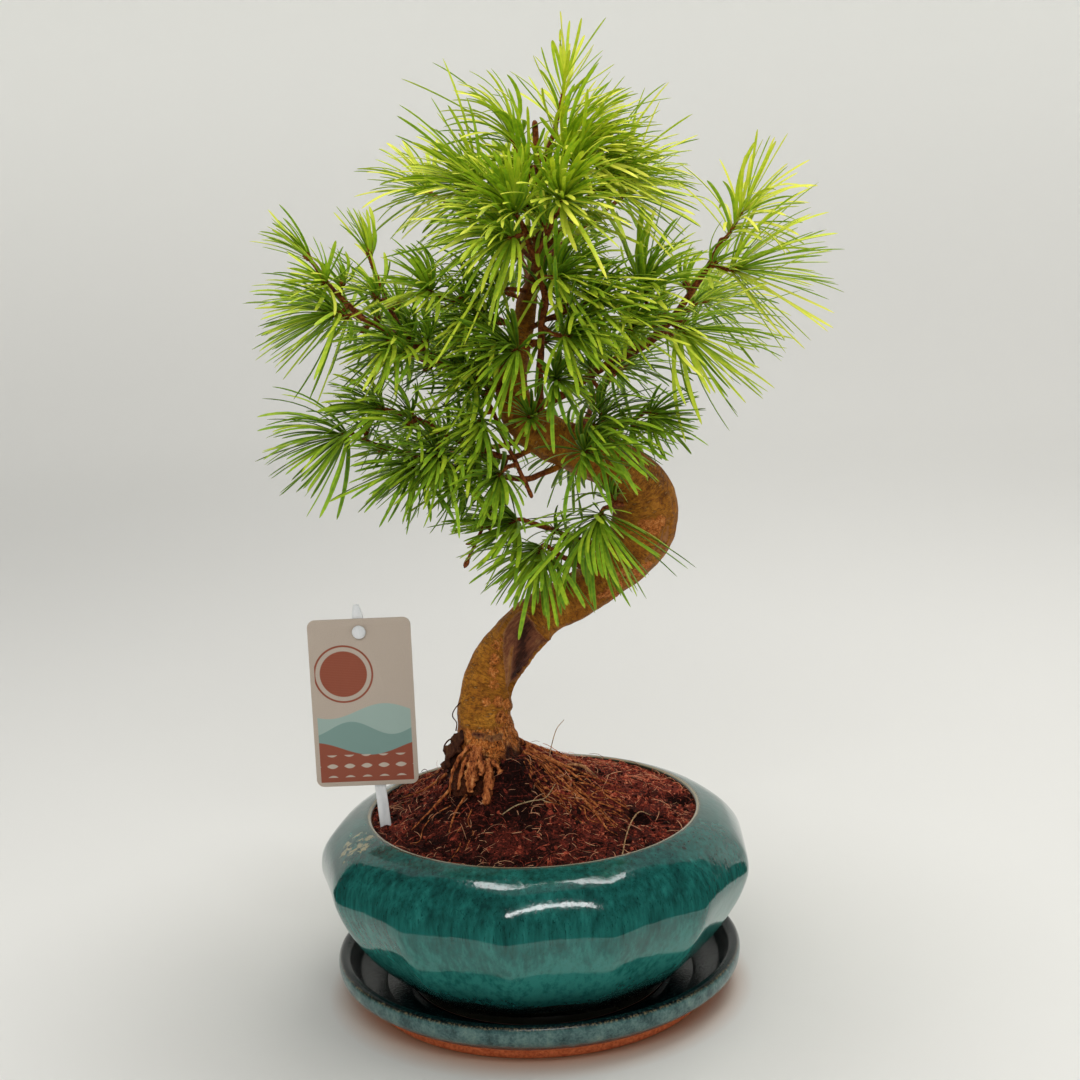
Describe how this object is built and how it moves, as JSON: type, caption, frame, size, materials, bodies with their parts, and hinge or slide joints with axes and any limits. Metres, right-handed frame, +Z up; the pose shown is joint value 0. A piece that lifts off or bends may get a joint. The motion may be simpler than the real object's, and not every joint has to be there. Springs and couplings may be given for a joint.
{
  "type": "potted bonsai",
  "caption": "Golden larch bonsai with an S-shaped trunk and tufts of soft flat needles, in a round hand-faceted teal bowl on its saucer, with a plain plant label on a stake.",
  "frame": {"origin": "the centre of the saucer's flat underside", "axes": "+Z is up, +X is to the right of the picture and -Y faces the viewer; the label stands at the front left"},
  "size_m": [0.2108, 0.1663, 0.3564],
  "materials": {
    "saucer glaze": "gloss, foot unglazed",
    "teal glaze": "high gloss",
    "potting mix": "rough fibres",
    "larch bark": "satin, scarred",
    "larch needles": "satin, slightly translucent",
    "printed card": "matte print",
    "frosted plastic": "satin, translucent"
  },
  "bodies": {
    "root": {"saucer": "saucer glaze", "pot": "teal glaze", "soil": "potting mix", "label_card": "printed card", "label_stake": "frosted plastic", "tree_wood": "larch bark", "spray_left_tip": "larch needles", "spray_left_fan": "larch needles", "spray_left_face": "larch needles", "spray_left_inner": "larch needles", "spray_second_tip": "larch needles", "spray_second_side": "larch needles", "spray_left_upper": "larch needles", "spray_sweep": "larch needles", "spray_shoot_top": "larch needles", "spray_upper_left": "larch needles", "spray_top_left": "larch needles", "spray_apex": "larch needles", "spray_top_right": "larch needles", "spray_top_side": "larch needles", "spray_dome_right": "larch needles", "spray_right_upper": "larch needles", "spray_top_front": "larch needles", "spray_front_right": "larch needles", "spray_right_front": "larch needles", "spray_right_mid": "larch needles", "spray_right_tip": "larch needles", "spray_right_gold": "larch needles", "spray_right_low": "larch needles", "spray_right_small": "larch needles", "spray_right_droop": "larch needles", "spray_centre_face": "larch needles", "spray_trunk_face": "larch needles", "spray_front_low": "larch needles", "spray_front_fan": "larch needles", "spray_front_left": "larch needles", "spray_descend_side": "larch needles", "spray_mid_face": "larch needles", "spray_descend_tip": "larch needles", "spray_low_fan": "larch needles", "spray_low_inner": "larch needles", "spray_mid_left": "larch needles", "spray_main_high": "larch needles", "spray_main_low": "larch needles", "spray_lower_left": "larch needles", "spray_low_centre": "larch needles", "spray_hanging": "larch needles", "spray_back_right": "larch needles", "spray_back_right_top": "larch needles", "spray_back_left": "larch needles", "spray_back_left_top": "larch needles", "spray_back_mid": "larch needles", "spray_back_mid_side": "larch needles", "spray_back_high_right": "larch needles", "spray_back_high_left": "larch needles", "spray_back_top": "larch needles", "spray_right_back": "larch needles", "spray_left_back": "larch needles", "spray_low_back": "larch needles", "spray_low_back_left": "larch needles"}
  },
  "joints": []
}
